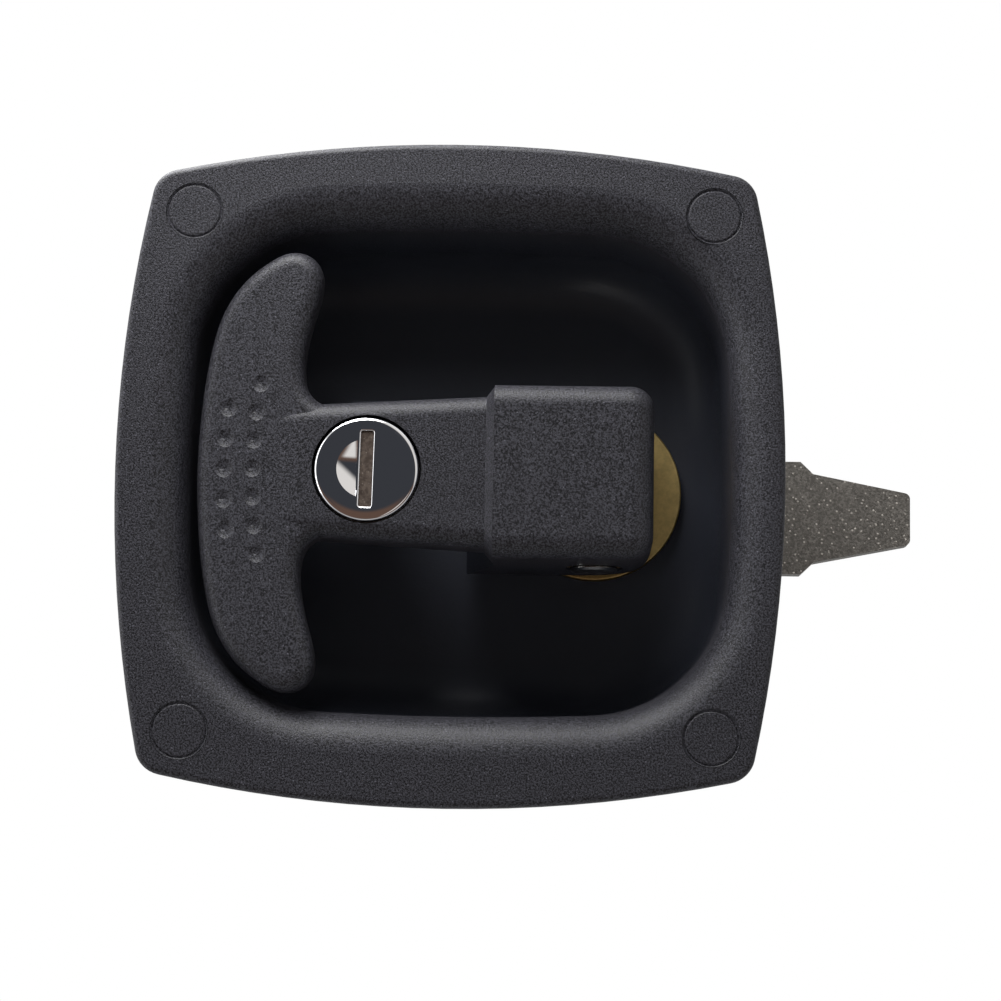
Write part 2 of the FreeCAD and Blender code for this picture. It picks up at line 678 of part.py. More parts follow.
def tongue_slot():
    """The slot clears the tongue from folded, when it points down, to standing, when it points right."""
    reach = JOURNAL_R + TONGUE_CLEARANCE
    far = 2 * FOOT_LENGTH
    x, z = SPINDLE_X, PIN_Z
    bend = reach * math.sqrt(0.5)
    start, stop = V(x - reach, 0, z), V(x, 0, z + reach)
    edges = [
        Part.Arc(start, V(x - bend, 0, z + bend), stop).toShape(),
        Part.makeLine(stop, V(x + far, 0, z + reach)),
        Part.makeLine(V(x + far, 0, z + reach), V(x + far, 0, z - far)),
        Part.makeLine(V(x + far, 0, z - far), V(x - reach, 0, z - far)),
        Part.makeLine(V(x - reach, 0, z - far), start),
    ]
    return side_slab(edges, TONGUE_T / 2 + SLOT_CLEARANCE)


def arc_drop(radius, run):
    """How far an arc of this radius has fallen after a run along its tangent."""
    return radius - math.sqrt(radius ** 2 - run ** 2)


def grip_drop(x):
    """How far the grip's crown lies below the stem's top at x."""
    return GRIP_SET + arc_drop(GRIP_BEND_R, max(0.0, BEND_X - x))


def grip_outline():
    """The plan of the whale tail: one spline from neck to neck round the grip, closed under the stem."""
    lobe = GRIP_HALF - STEM_HALF_NECK
    upper = [V(GRIP_X + GRIP_WIDTH * u, STEM_HALF_NECK + lobe * v, 0) for u, v in GRIP_LOBE]
    lower = [V(p.x, -p.y, 0) for p in reversed(upper)]
    neck = V(NECK_X, STEM_HALF_NECK - NECK_TUCK, 0)
    low_neck = V(neck.x, -neck.y, 0)
    curve = Part.BSplineCurve()
    curve.interpolate(Points=[neck] + upper + [V(GRIP_X, 0, 0)] + lower + [low_neck],
                      InitialTangent=V(-1, 0, 0), FinalTangent=V(1, 0, 0), Scale=False)
    return Part.Wire([curve.toShape(), Part.makeLine(low_neck, neck)])


def grip():
    """The whale tail, bending back towards the floor, with all its edges rounded."""
    plan = prism(grip_outline(), 4 * STEM_T)
    plan.translate(V(0, 0, -2 * STEM_T))
    right, left = NECK_X + OVERRUN, GRIP_X - OVERRUN
    middle = (BEND_X + left) / 2

    def at(x, z):
        return V(x, 0, z - grip_drop(x))

    high, low = STEM_TOP, STEM_TOP - STEM_T
    edges = [
        Part.makeLine(at(right, high), at(BEND_X, high)),
        Part.Arc(at(BEND_X, high), at(middle, high), at(left, high)).toShape(),
        Part.makeLine(at(left, high), at(left, low)),
        Part.Arc(at(left, low), at(middle, low), at(BEND_X, low)).toShape(),
        Part.makeLine(at(BEND_X, low), at(right, low)),
        Part.makeLine(at(right, low), at(right, high)),
    ]
    blank = plan.common(side_slab(edges, 2 * GRIP_HALF))
    rounded = []
    for edge in blank.Edges:
        bounds = edge.BoundBox
        seam = bounds.XLength < NEAR and bounds.XMax < NECK_X - NEAR
        closing = bounds.XMin > NECK_X - NEAR
        if not (seam or closing):
            rounded.append(edge)
    return blank.makeFillet(GRIP_EDGE_R, rounded)


def stem():
    """The tapered bar over the lock; its end sinks into the grip's crown."""
    right = HUB_LEFT + HUB_EDGE_R
    left = BEND_X - STEM_SINK_RUN
    high, low = STEM_TOP, STEM_TOP - STEM_T
    middle = (BEND_X + left) / 2
    tail_top = high - arc_drop(STEM_SINK_R, STEM_SINK_RUN)
    edges = [
        Part.makeLine(V(right, 0, high), V(BEND_X, 0, high)),
        Part.Arc(V(BEND_X, 0, high), V(middle, 0, high - arc_drop(STEM_SINK_R, BEND_X - middle)),
                 V(left, 0, tail_top)).toShape(),
        Part.makeLine(V(left, 0, tail_top), V(left, 0, low)),
        Part.makeLine(V(left, 0, low), V(right, 0, low)),
        Part.makeLine(V(right, 0, low), V(right, 0, high)),
    ]
    bar = side_slab(edges, STEM_HALF_ROOT + OVERRUN)
    taper = (STEM_HALF_ROOT - STEM_HALF_NECK) / (HUB_LEFT - NECK_X)
    half_left = STEM_HALF_NECK - taper * (NECK_X - left)
    half_right = STEM_HALF_ROOT + taper * (right - HUB_LEFT)
    z = low - OVERRUN
    plan = [V(left, -half_left, z), V(right, -half_right, z), V(right, half_right, z), V(left, half_left, z)]
    bar = bar.common(prism(Part.makePolygon(plan + plan[:1]), STEM_T + 2 * OVERRUN))
    long_edges = [e for e in bar.Edges if e.BoundBox.YLength < OVERRUN and e.BoundBox.XLength > STEM_SINK_RUN / 2]
    return bar.makeFillet(STEM_EDGE_R, long_edges)


def dimples():
    """Two bowed rows of shallow round dimples on the crown of the grip."""
    balls = []
    for count, inset, pitch in zip(DIMPLE_COUNTS, DIMPLE_INSETS, DIMPLE_PITCHES):
        for i in range(count):
            y = (i - (count - 1) / 2) * pitch
            x = GRIP_X + inset + arc_drop(DIMPLE_ARC_R, y)
            balls.append(cap_ball(DIMPLE_R, DIMPLE_DEPTH, x, y, STEM_TOP - grip_drop(x)))
    return balls


def arch(x, half_width, top, corner_r):
    """A cross-section of the handle at x, with its two upper corners rounded."""
    low = PIN_Z + FOOT_ROOT
    turn = corner_r * (1 - math.sqrt(0.5))
    edges = [Part.makeLine(V(x, -half_width, low), V(x, -half_width, top - corner_r))]
    for side in (-1, 1):
        wall = V(x, side * half_width, top - corner_r)
        middle = V(x, side * (half_width - turn), top - turn)
        crown = V(x, side * (half_width - corner_r), top)
        ends = (wall, crown) if side < 0 else (crown, wall)
        edges.append(Part.Arc(ends[0], middle, ends[1]).toShape())
        if side < 0:
            edges.append(Part.makeLine(crown, V(x, half_width - corner_r, top)))
    edges.append(Part.makeLine(V(x, half_width, top - corner_r), V(x, half_width, low)))
    edges.append(Part.makeLine(V(x, half_width, low), V(x, -half_width, low)))
    return Part.Wire(edges)


def collar():
    """The steep step from the stem up to the hub."""
    sink = COLLAR_SINK
    small = arch(HUB_LEFT - COLLAR_LENGTH, STEM_HALF_ROOT - sink, STEM_TOP - sink, STEM_EDGE_R)
    large = arch(HUB_LEFT, hub_half_width(HUB_TOP_Z) - sink, HUB_TOP_Z - sink, HUB_EDGE_R)
    return Part.makeLoft([small, large], True, True)


def t_handle():
    """One casting: grip, stem, lock boss, collar and hub."""
    boss = rod(LOCK_BOSS_R, LOCK_BOSS_END, STEM_TOP - STEM_T / 2, LOCK_X)
    boss = boss.makeFillet(LOCK_BOSS_EDGE_R, edges_at(boss, LOCK_BOSS_END))
    handle = grip().fuse([stem(), hub(), collar(), boss])
    handle = handle.cut(tongue_slot())
    handle = handle.cut(rod(LOCK_BARREL_R + LOCK_FIT, LOCK_BOSS_END - OVERRUN, LOCK_SEAT, LOCK_X))
    handle = handle.cut(rod(LOCK_FACE_R + LOCK_SEAT_GAP, LOCK_SEAT, STEM_TOP + OVERRUN, LOCK_X))
    return handle.cut(dimples()).removeSplitter()


def lock_housing():
    head = rod(LOCK_FACE_R, LOCK_SEAT, LOCK_HEAD_TOP, LOCK_X)
    barrel = rod(LOCK_BARREL_R, LOCK_BARREL_END, LOCK_SEAT, LOCK_X)
    bore = rod(LOCK_PLUG_R + RUNNING_FIT, LOCK_BARREL_END - OVERRUN, LOCK_FACE, LOCK_X)
    return head.fuse(barrel).cut(bore).removeSplitter()


def lock_face_cap():
    """The polished cap: a shallow cup with a rounded rim, the key slot and a scoop beside it."""
    cap = rod(LOCK_FACE_R, LOCK_CAP_LOW, LOCK_FACE, LOCK_X)
    cap = cap.makeFillet(LOCK_FACE_EDGE_R, edges_at(cap, LOCK_FACE))
    cap = cap.cut(rod(LOCK_FACE_R - LOCK_CAP_WALL, LOCK_CAP_LOW - OVERRUN, LOCK_CAP_INSIDE, LOCK_X))
    half_w, half_h = KEY_SLOT_W / 2, KEY_SLOT_H / 2
    slot = box(LOCK_X - half_w, LOCK_X + half_w, -half_h, half_h, LOCK_CAP_LOW, LOCK_FACE + OVERRUN)
    low = slot_outline(0.0, LOCK_FACE - KEY_SLOT_BEVEL)
    high = slot_outline(2 * KEY_SLOT_BEVEL, LOCK_FACE + KEY_SLOT_BEVEL)
    bevel = Part.makeLoft([low, high], True, True)
    edge = LOCK_X - half_w - KEY_SLOT_BEVEL - SCOOP_WALL
    side = box(LOCK_X - 2 * SCOOP_R, edge, -SCOOP_R, SCOOP_R, LOCK_CAP_LOW, LOCK_FACE + OVERRUN)
    scoop = cap_ball(SCOOP_R, SCOOP_DEPTH, LOCK_X, 0, LOCK_FACE).common(side)
    return cap.cut([leaned(slot), leaned(bevel), leaned(scoop)])


def slot_outline(grow, z):
    """The key slot's outline, grown outwards, at the level z."""
    half_w, half_h = KEY_SLOT_W / 2 + grow, KEY_SLOT_H / 2 + grow
    corners = [V(LOCK_X + sx * half_w, sy * half_h, z) for sx, sy in ((-1, -1), (1, -1), (1, 1), (-1, 1))]
    return Part.makePolygon(corners + corners[:1])


def leaned(shape):
    """The key was drawn a little past upright, so the slot and what is in it lean."""
    shape.rotate(V(LOCK_X, 0, 0), V(0, 0, 1), -KEY_SLOT_LEAN)
    return shape


def keyway_shutter():
    half_w = KEY_SLOT_W / 2 - SHUTTER_GAP
    half_h = KEY_SLOT_H / 2 - SHUTTER_GAP
    high = LOCK_FACE - SHUTTER_SINK
    return leaned(box(LOCK_X - half_w, LOCK_X + half_w, -half_h, half_h, high - SHUTTER_T, high))


def wafer_levels():
    return [LOCK_SEAT - WAFER_START - i * WAFER_PITCH for i in range(WAFER_COUNT)]


def wafer_block(z, fit):
    half_w, half_h = WAFER_HALF_W + fit, WAFER_HALF_H + fit
    return box(LOCK_X - half_w, LOCK_X + half_w, -half_h, half_h, z - WAFER_T - fit, z + fit)


def keyway(z_low, z_high):
    return box(LOCK_X - KEYWAY_W / 2, LOCK_X + KEYWAY_W / 2, -KEYWAY_H / 2, KEYWAY_H / 2, z_low, z_high)


def lock_plug():
    """The turning core: a head inside the cap, a body with wafer slots and a square tail for the cam."""
    head = rod(LOCK_FACE_R - LOCK_CAP_WALL - LOCK_FIT, LOCK_CAP_LOW, LOCK_CAP_INSIDE, LOCK_X)
    body = rod(LOCK_PLUG_R, LOCK_BARREL_END, LOCK_CAP_LOW + LOCK_FIT, LOCK_X)
    half = TAIL_SQUARE / 2
    tail = box(LOCK_X - half, LOCK_X + half, -half, half, CAM_END + CAM_GAP, LOCK_BARREL_END)
    plug = head.fuse([body, tail]).cut(keyway(KEYWAY_END, LOCK_FACE))
    for z in wafer_levels():
        plug = plug.cut(wafer_block(z, LOCK_FIT))
    return plug.cut(rod(CAM_SCREW_R, CAM_END - OVERRUN, CAM_END + CAM_SCREW_LENGTH, LOCK_X)).removeSplitter()


def tumbler_wafers():
    key_gate = keyway(KEYWAY_END, LOCK_FACE)
    return Part.makeCompound([wafer_block(z, 0.0).cut(key_gate) for z in wafer_levels()])


def lock_retaining_nut():
    return hex_nut(LOCK_NUT_AF, LOCK_BARREL_R + LOCK_FIT, LOCK_BOSS_END - LOCK_NUT_T, LOCK_BOSS_END, LOCK_X)


def lock_cam():
    """A flat finger that points at the grip when unlocked."""
    hub_disc = rod(CAM_HUB_R, CAM_END, CAM_TOP, LOCK_X)
    arm = box(LOCK_X - CAM_REACH, LOCK_X, -CAM_WIDTH / 2, CAM_WIDTH / 2, CAM_END, CAM_TOP)
    arm = arm.common(rod(CAM_REACH, CAM_END, CAM_TOP, LOCK_X))
    half = TAIL_SQUARE / 2 + LOCK_FIT
    hole = box(LOCK_X - half, LOCK_X + half, -half, half, CAM_END - OVERRUN, CAM_TOP + OVERRUN)
    return hub_disc.fuse(arm).cut(hole).removeSplitter()


def cam_washer():
    return ring(CAM_WASHER_R, CAM_SCREW_R + LOCK_FIT, CAM_SCREW_SEAT, CAM_END, LOCK_X)


def cam_screw():
    low = CAM_SCREW_SEAT - CAM_SCREW_HEAD_T
    head = rod(CAM_SCREW_HEAD_R, low, CAM_SCREW_SEAT, LOCK_X)
    head = head.makeFillet(CAM_SCREW_EDGE_R, edges_at(head, low))
    shank = rod(CAM_SCREW_R, CAM_SCREW_SEAT, CAM_END + CAM_SCREW_LENGTH - CAM_GAP, LOCK_X)
    half = CAM_SCREW_SLOT_W / 2
    slot = box(LOCK_X - CAM_SCREW_HEAD_R, LOCK_X + CAM_SCREW_HEAD_R, -half, half,
               low - OVERRUN, low + CAM_SCREW_SLOT_DEPTH)
    return head.fuse(shank).cut(slot).removeSplitter()


PIECES = [
    dish_housing, flange_gasket, mounting_studs, thrust_washer, spindle_bush, spindle_seal,
    spindle, pivot_pin, pivot_bushes, return_spring, spring_washer, spindle_circlip, stop_plate,
    pawl_front_nut, pawl, pawl_lock_washer, pawl_nut, t_handle, lock_housing, lock_face_cap,
    keyway_shutter, lock_plug, tumbler_wafers, lock_retaining_nut, lock_cam, cam_washer, cam_screw,
]


def main():
    os.makedirs("parts", exist_ok=True)
    for piece in PIECES:
        shape = piece()
        # From face up on the bench to upright on the door.
        shape.rotate(V(0, 0, 0), V(1, 0, 0), 90)
        shape.exportStep("parts/" + piece.__name__ + ".step")
        print(piece.__name__, len(shape.Solids), shape.isValid(), round(shape.Volume, 1))


main()
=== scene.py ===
"""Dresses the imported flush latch: powder-coated dish and T-handle, polished lock face, brass and
plated steel, in a plain white studio seen from just below the handle."""
import json
import math

import bmesh
import bpy
from bpy.props import FloatProperty, FloatVectorProperty, IntProperty, PointerProperty
from bpy.types import Operator, Panel, PropertyGroup
from mathutils import Matrix, Vector


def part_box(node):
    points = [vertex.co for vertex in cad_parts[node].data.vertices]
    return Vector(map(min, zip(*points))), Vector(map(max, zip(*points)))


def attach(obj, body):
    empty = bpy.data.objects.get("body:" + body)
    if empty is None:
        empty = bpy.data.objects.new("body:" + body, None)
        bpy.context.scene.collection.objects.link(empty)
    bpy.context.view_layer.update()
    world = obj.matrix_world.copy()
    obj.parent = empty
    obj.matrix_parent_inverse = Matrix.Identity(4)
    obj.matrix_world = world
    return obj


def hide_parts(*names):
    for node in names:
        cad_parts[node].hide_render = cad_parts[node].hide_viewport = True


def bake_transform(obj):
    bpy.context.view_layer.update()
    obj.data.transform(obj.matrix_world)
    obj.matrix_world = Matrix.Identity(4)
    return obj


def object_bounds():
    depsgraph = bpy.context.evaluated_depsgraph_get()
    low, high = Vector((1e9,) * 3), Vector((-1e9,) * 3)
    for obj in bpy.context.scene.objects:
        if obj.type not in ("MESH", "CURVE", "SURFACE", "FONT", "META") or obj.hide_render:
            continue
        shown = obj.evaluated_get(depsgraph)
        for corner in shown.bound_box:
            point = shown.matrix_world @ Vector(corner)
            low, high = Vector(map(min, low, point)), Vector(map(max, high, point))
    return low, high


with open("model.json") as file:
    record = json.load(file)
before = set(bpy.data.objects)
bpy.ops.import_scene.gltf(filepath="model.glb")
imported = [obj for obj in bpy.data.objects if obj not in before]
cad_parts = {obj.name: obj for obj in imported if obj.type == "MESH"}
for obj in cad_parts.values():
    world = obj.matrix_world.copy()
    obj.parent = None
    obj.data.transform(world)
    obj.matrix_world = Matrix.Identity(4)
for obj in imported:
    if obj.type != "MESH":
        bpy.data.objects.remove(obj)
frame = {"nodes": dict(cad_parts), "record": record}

bl_info = {
    "name": "Flush T-handle latch dressing",
    "version": (1, 0, 0),
    "blender": (4, 5, 0),
    "location": "3D View > Sidebar > Latch",
    "description": "Finishes, threads, spring and studio for a flush T-handle compression latch",
    "category": "Object",
}

MM = 0.001
CAD_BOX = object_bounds()

# The photograph's camera, in pixels, millimetres and degrees. It is turned about a point that
# stands PHOTO_PLANE in front of the frame's origin.
PHOTO_SIZE = 1001
PHOTO_FOCAL_PX = 3000.0
PHOTO_PX_PER_MM = 5.568
PHOTO_TILT = (-7.98, -1.27, -0.94)
PHOTO_SHIFT = (-9.06, 4.84)
PHOTO_PLANE = 1.0
SENSOR_MM = 36.0
CLIP_START = 0.01

# The softboxes: name, place and size in metres, and the setting that holds the power.
SOFTBOXES = (
    ("top_softbox", (-0.1, -0.052, 0.26), (0.4, 0.16), "top_watts"),
    ("left_softbox", (-0.35, -0.1, 0.06), (0.18, 0.4), "left_watts"),
    ("right_softbox", (0.4, -0.12, 0.0), (0.18, 0.4), "right_watts"),
)
BACKDROP_HALF = 3.0
PAPER = (0.8, 0.8, 0.8, 1.0)
WHITE = (1.0, 1.0, 1.0, 1.0)
BLACK = (0.0, 0.0, 0.0, 1.0)

# Where noise turns from dark to light: softly in clouds, crisply in grain.
CLOUDY = (0.3, 0.7)
GRAINY = (0.36, 0.64)

# The coat's features as multiples of its grain. Inside the dish the coat gets painted shade, a flat
# bluish colour, and smoother grain: fully from the shade depth behind the origin on, and less and
# less over the shade blend in front of that.
COAT_SWELL = 9
COAT_FLECK_GAP = 4
DISH_SHADE_DEPTH = 13 * MM
DISH_SHADE_BLEND = 12 * MM

# Edges that turn by less than this are shaded smooth.
SMOOTH_ANGLE = math.radians(35)
FACE_SMOOTH_ANGLE = math.radians(22)

# A stud's head stays flat to just short of its groove, and its neck ends inside the thread.
HEAD_SEGMENTS = 96
HEAD_CENTRE_R = 0.1 * MM
GROOVE_STEPS = 8
GROOVE_MARGIN = 0.08 * MM
CORE_SHARE = 0.8

# How far past its shoulder the spindle's tail is measured, and where it is cut off.
TAIL_MARGIN = 0.5 * MM
SEAM_MARGIN = 0.05 * MM

# The lock face reaches past its shutter, the slot clears the shutter, and the cutters reach past
# the face. The scoop ends beside the slot, at a multiple of the bevel.
FACE_SEGMENTS = 192
FACE_CENTRE_R = 0.01 * MM
FACE_OVERLAP = 0.1 * MM
CROWN_STEPS = 12
RIM_STEPS = 8
BEVEL_STEPS = 6
SLOT_SLACK = 0.04 * MM
CUT_PAST = 1 * MM
SCOOP_INSET = 1.5
SCOOP_SEGMENTS = (160, 96)

# Points along one turn of the spring and round its wire, and the pitch of its closed turns as a
# multiple of the wire's radius.
SPRING_POINTS = 64
WIRE_POINTS = 16
CLOSED_PITCH = 2.05


def colour_property(name, description, default):
    return FloatVectorProperty(name=name, description=description, subtype="COLOR", size=3,
                               min=0.0, max=1.0, default=default)


def length_property(name, description, default):
    return FloatProperty(name=name, description=description, unit="LENGTH", default=default)


def power_property(name, description, default):
    return FloatProperty(name=name, description=description, unit="POWER", default=default)


def number_property(name, description, default):
    return FloatProperty(name=name, description=description, default=default)


def share_property(name, description, default):
    return FloatProperty(name=name, description=description, min=0.0, max=1.0, default=default)


def span_property(name, description, default):
    """Where something begins and where it is full, as parts of a direction's length."""
    return FloatVectorProperty(name=name, description=description, size=2, default=default)


class FinishSettings(PropertyGroup):
    coat_colour: colour_property(
        "Powder coat", "Colour of the textured powder coat", (0.033, 0.0327, 0.0395))
    coat_roughness: share_property("Coat roughness", "Roughness of the powder coat", 0.46)
    coat_grain: length_property("Coat grain", "Size of the coat's orange-peel grain", 0.32 * MM)
    # Painted shade: this flat bluish colour stands in for the shade inside the dish, where the coat
    # is the same.
    dish_shade_colour: colour_property(
        "Sheltered coat", "Colour of the thin, smooth coat inside the dish", (0.031, 0.034, 0.046))
    brass_colour: colour_property("Brass", "Colour of turned brass", (0.7, 0.53, 0.22))
    plate_colour: colour_property("Zinc plate", "Colour of bright zinc plating", (0.66, 0.66, 0.63))
    pawl_colour: colour_property(
        "Pawl", "Colour of the tumbled, plated pawl", (0.225, 0.212, 0.193))
    polish_colour: colour_property(
        "Polished steel", "Colour of the polished lock face", (0.78, 0.78, 0.8))
    rubber_colour: colour_property("Rubber", "Colour of gasket and seal", (0.018, 0.018, 0.019))


class StudioSettings(PropertyGroup):
    top_watts: power_property("Top softbox", "Power of the large softbox above", 2.5)
    left_watts: power_property("Left softbox", "Power of the softbox on the left", 0.35)
    right_watts: power_property("Right softbox", "Power of the softbox on the right", 0.04)
    world_strength: number_property("World", "Strength of the surrounding light", 0.13)
    dark_colour: colour_property(
        "Unlit front", "What gloss reflects from the unlit side of the studio",
        (0.045, 0.048, 0.056))
    dark_span: span_property("Unlit span", "Where the unlit side begins and is dark", (0.35, 0.62))
    low_dim: share_property(
        "Low dimming", "How much weaker the surroundings are in gloss from below", 0.5)
    dim_lean: number_property(
        "Dimming lean", "How far the dimming also covers the right side", 0.8)
    dim_span: span_property("Dimming span", "Where the dimming begins and is full", (-0.4, 0.3))
    floor_colour: colour_property(
        "Warm floor", "What gloss reflects from below the unlit front", (0.13, 0.08, 0.06))
    floor_span: span_property(
        "Floor span", "How far down the warm floor begins and is full", (0.0, 0.12))
    card_colour: colour_property(
        "White card", "What gloss reflects from the two cards on the right", (0.85, 0.82, 0.78))
    card_slope: number_property(
        "Card slope", "How steeply the edge of the upper card falls to the right", 0.9)
    card_edge: span_property(
        "Card edge", "Where the upper card begins and is full, up and to the right", (0.48, 0.7))
    low_card_top: span_property(
        "Low card top", "Where the lower card begins and is full, downwards", (0.11, 0.2))
    low_card_side: span_property(
        "Low card side", "Where the lower card begins and is full, to the right", (0.16, 0.26))
    low_card_slope: number_property(
        "Low card slope", "How steeply the far edge of the lower card falls", 0.56)
    low_card_end: span_property(
        "Low card end", "Where the lower card fades and ends, down and to the right", (0.55, 0.7))
    standoff: length_property(
        "Backdrop distance", "Distance from the latch to the backdrop", 0.16)


class ThreadSettings(PropertyGroup):
    stud_pitch: length_property("Stud pitch", "Thread pitch of the studs", 1.0 * MM)
    spindle_pitch: length_property(
        "Spindle pitch", "Thread pitch of the spindle's tail", 1.5 * MM)
    depth_share: number_property(
        "Thread depth", "Depth of a thread as a share of its pitch", 0.58)
    segments: IntProperty(name="Segments", description="Points round one turn of a thread",
                          default=48)
    steps: IntProperty(name="Steps", description="Points along one pitch of a thread", default=8)


class StudSettings(PropertyGroup):
    head_height: length_property("Head height", "Height of a stud's flush head", 2.0 * MM)
    neck_height: length_property(
        "Neck height", "Length of the pressed neck under the head", 2.5 * MM)
    neck_radius: length_property("Neck radius", "Radius of the pressed neck", 3.6 * MM)
    shank_radius: length_property("Shank radius", "Radius over the stud's thread", 3.0 * MM)
    groove_width: length_property(
        "Groove width", "Width of the groove that pressing leaves round a head", 0.62 * MM)
    groove_depth: length_property("Groove depth", "Depth of the groove round a head", 0.26 * MM)


class FaceSettings(PropertyGroup):
    crown: length_property("Crown", "How far the lock face falls towards its rim", 0.16 * MM)
    crown_from: number_property(
        "Crown from", "Where the fall begins, as a share of the radius", 0.7)
    rim_radius: length_property("Rim radius", "Radius of the face's outer edge", 0.9 * MM)
    slot_bevel: length_property(
        "Slot bevel", "Width of the bright bevel round the key slot", 0.34 * MM)
    slot_corner: length_property("Slot corner", "Radius of the slot's corners", 0.35 * MM)
    slot_lean: FloatProperty(name="Slot lean", description="How far the slot leans past upright",
                             subtype="ANGLE", default=math.radians(1.1))
    scoop_radius: length_property(
        "Scoop radius", "Radius of the finger scoop beside the slot", 5.3 * MM)
    scoop_depth: length_property("Scoop depth", "Depth of the finger scoop", 1.1 * MM)


class SpringSettings(PropertyGroup):
    wire_radius: length_property("Wire radius", "Radius of the spring's wire", 0.7 * MM)
    turns: number_property("Working turns", "Open turns between the closed ends", 2.0)
    closed_turns: number_property("Closed turns", "Turns that lie flat at each end", 1.0)


def finish_settings():
    return bpy.context.scene.latch_finish


class Value:
    """A shader socket that can be added, subtracted and scaled like a number."""

    def __init__(self, graph, socket):
        self.graph = graph
        self.socket = socket

    def _math(self, operation, a, b):
        return self.graph.node("ShaderNodeMath", {"operation": operation}, {0: a, 1: b})

    def __add__(self, other):
        return self._math("ADD", self, other)

    __radd__ = __add__

    def __sub__(self, other):
        return self._math("SUBTRACT", self, other)

    def __rsub__(self, other):
        return self._math("SUBTRACT", other, self)

    def __mul__(self, other):
        return self._math("MULTIPLY", self, other)

    __rmul__ = __mul__


class Graph:
    """The nodes of one material or world, made one call at a time."""

    def __init__(self, owner, output="ShaderNodeOutputMaterial"):
        self.owner = owner
        owner.use_nodes = True
        self.nodes = owner.node_tree.nodes
        self.links = owner.node_tree.links
        self.nodes.clear()
        self.output = self.nodes.new(output)

    def node(self, kind, settings=None, inputs=None, out=0):
        """Adds a node, applies its settings, then fills its sockets with values or links."""
        node = self.nodes.new(kind)
        for key, setting in (settings or {}).items():
            setattr(node, key, setting)
        for key, given in (inputs or {}).items():
            if isinstance(given, Value):
                self.links.new(given.socket, node.inputs[key])
            else:
                node.inputs[key].default_value = given
        return Value(self, node.outputs[out])

    def place(self):
        """The point on the object, in metres and in the frame's axes."""
        return self.node("ShaderNodeTexCoord", out="Object")

    def axis(self, vector, letter):
        """One coordinate of a vector."""
        return self.node("ShaderNodeSeparateXYZ", {}, {0: vector}, out="XYZ".index(letter))

    def noise(self, where, size, detail=2.0, roughness=0.5):
        return self.node("ShaderNodeTexNoise", {}, {"Vector": where, "Scale": 1.0 / size,
                                                    "Detail": detail, "Roughness": roughness})

    def flecks(self, where, gap, reach, edge):
        """1 in the middle of round flecks that lie about one gap apart, 0 between them."""
        cells = self.node("ShaderNodeTexVoronoi", {}, {"Vector": where, "Scale": 1.0 / gap})
        return self.ramp(reach - cells, 0.0, edge)

    def ramp(self, value, low, high):
        """Maps low to high smoothly onto 0 to 1."""
        return self.node("ShaderNodeMapRange", {"interpolation_type": "SMOOTHSTEP"},
                         {"Value": value, "From Min": low, "From Max": high})

    def mix(self, factor, a, b):
        return self.node("ShaderNodeMix", {"data_type": "RGBA"}, {0: factor, 6: a, 7: b}, out=2)

    def shade(self, mask, colour, low, high):
        """A colour whose gain goes from low to high with a mask."""
        return self.mix(mask, rgba(colour, low), rgba(colour, high))

    def bump(self, height, strength, distance):
        return self.node("ShaderNodeBump", {},
                         {"Height": height, "Strength": strength, "Distance": distance})

    def finish(self, shader):
        self.links.new(shader.socket, self.output.inputs["Surface"])
        return self.owner

    def surface(self, **sockets):
        named = {key.replace("_", " "): given for key, given in sockets.items()}
        return self.finish(self.node("ShaderNodeBsdfPrincipled", {}, named))


def material_graph(name):
    return Graph(bpy.data.materials.new(name))


def rgba(colour, gain=1.0):
    return (colour[0] * gain, colour[1] * gain, colour[2] * gain, 1.0)


def powder_coat():
    """Fine-textured satin powder coat with light flecks; inside the dish a flat bluish painted
    shade and smoother grain.
    """
    s = finish_settings()
    g = material_graph("powder_coat")
    where = g.place()
    grain = g.noise(where, s.coat_grain, roughness=0.6)
    swell = g.noise(where, s.coat_grain * COAT_SWELL)
    fleck = g.flecks(where, s.coat_grain * COAT_FLECK_GAP, reach=0.14, edge=0.09)
    open_face = g.ramp(DISH_SHADE_DEPTH - g.axis(where, "Y"), 0.0, DISH_SHADE_BLEND)
    tone = g.shade(g.ramp(swell, *CLOUDY), s.coat_colour, 0.9, 1.12)
    peaks = g.mix(0.5, tone, rgba(s.coat_colour, 2.5))
    grained = g.mix(g.ramp(grain, *GRAINY), rgba(s.coat_colour, 0.25), peaks)
    flecked = g.mix(fleck * 0.5, grained, rgba(s.coat_colour, 6.0))
    height = grain * (open_face * 0.8 + 0.2) + swell * 0.3
    # Inside the dish the base colour is painted shade instead of the grained, flecked coat.
    return g.surface(Base_Color=g.mix(open_face, rgba(s.dish_shade_colour), flecked),
                     Roughness=s.coat_roughness + (grain - 0.5) * 0.4,
                     Normal=g.bump(height, 1.0, s.coat_grain * 0.3), Specular_IOR_Level=0.3)


def turned_brass():
    """Brass with faint turning marks and a dull film."""
    s = finish_settings()
    g = material_graph("turned_brass")
    where = g.place()
    film = g.noise(where, 1.1 * MM, detail=5.0, roughness=0.6)
    marks = g.noise(where, 0.22 * MM)
    return g.surface(Base_Color=g.shade(g.ramp(film, *CLOUDY), s.brass_colour, 0.78, 0.98),
                     Metallic=1.0, Roughness=0.34 + film * 0.14,
                     Normal=g.bump(marks, 0.4, 0.05 * MM))


def plated_steel(name="plated_steel", gain=1.0, rough=0.24):
    """Bright zinc plate, slightly cloudy."""
    s = finish_settings()
    g = material_graph(name)
    where = g.place()
    cloud = g.noise(where, 4 * MM, detail=3.0)
    fine = g.noise(where, 0.3 * MM)
    return g.surface(Base_Color=g.shade(cloud, s.plate_colour, 0.8 * gain, 1.08 * gain),
                     Metallic=1.0, Roughness=rough + cloud * 0.16,
                     Normal=g.bump(fine, 0.2, 0.03 * MM))


